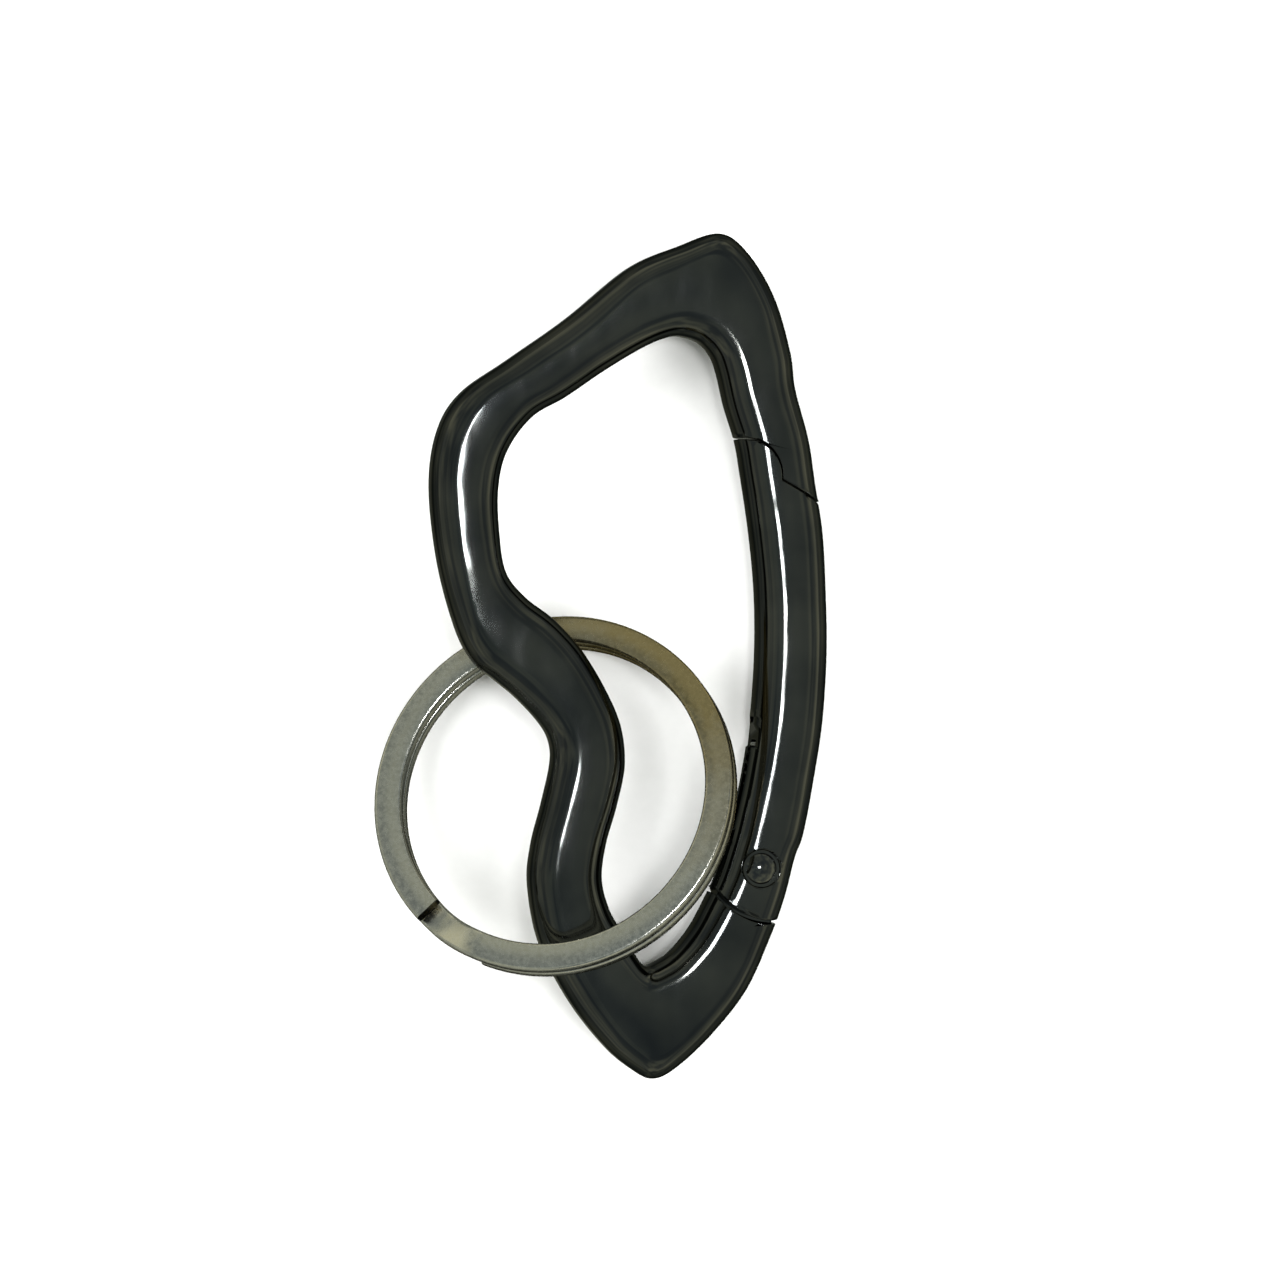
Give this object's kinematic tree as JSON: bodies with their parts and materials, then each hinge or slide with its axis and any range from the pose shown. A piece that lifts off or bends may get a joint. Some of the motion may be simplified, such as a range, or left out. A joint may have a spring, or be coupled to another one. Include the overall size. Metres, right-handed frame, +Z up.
{
  "type": "carabiner keyring",
  "caption": "Cast carabiner hook in dark nickel with a waisted spine and a pivoting spring gate, and a flat split key ring threaded on the spine.",
  "frame": {"origin": "middle of the object's bounding box, at the table it lies on", "axes": "+Y from the hook's bottom tip to its nose, +X from the spine to the gate, +Z up from the table"},
  "size_m": [0.0383, 0.0734, 0.0148],
  "materials": {
    "frame_black_nickel": "glossy black nickel plating on cast zinc",
    "gate_black_nickel": "glossy black nickel plating on cast zinc",
    "rivet_black_nickel": "plated steel rivet, slightly worn dome",
    "spring_steel": "drawn spring wire",
    "plunger_brass": "turned, slightly dull",
    "ring_nickel": "nickel plated flat wire with fine scratches"
  },
  "bodies": {
    "frame": {"frame": "frame_black_nickel"},
    "gate": {"gate": "gate_black_nickel", "pivot_rivet": "rivet_black_nickel", "gate_spring": "spring_steel"},
    "plunger": {"spring_plunger": "plunger_brass"},
    "ring": {"split_ring": "ring_nickel"}
  },
  "joints": [
    {"name": "gate_pivot", "type": "hinge", "parent": "frame", "child": "gate", "pos_m": [0.01424, -0.0178, 0.00342], "axis": [0.2028, 0, 0.9792], "range_deg": [0, 15], "stiffness_Nm_per_rad": 0.05, "springref_deg": -28.65},
    {"name": "plunger_slide", "type": "slide", "parent": "gate", "child": "plunger", "axis": [0, 1, 0], "range_m": [0, 0.0003], "deforming": ["gate_spring"]},
    {"name": "ring_swing", "type": "hinge", "parent": "frame", "child": "ring", "pos_m": [-0.0035, -0.0128, 0.00751], "axis": [-0.5476, -0.829, 0.1134], "range_deg": [0, 105]}
  ],
  "couplings": [
    {"joint": "plunger_slide", "follows": "gate_pivot", "m_per_rad": 0.001}
  ]
}
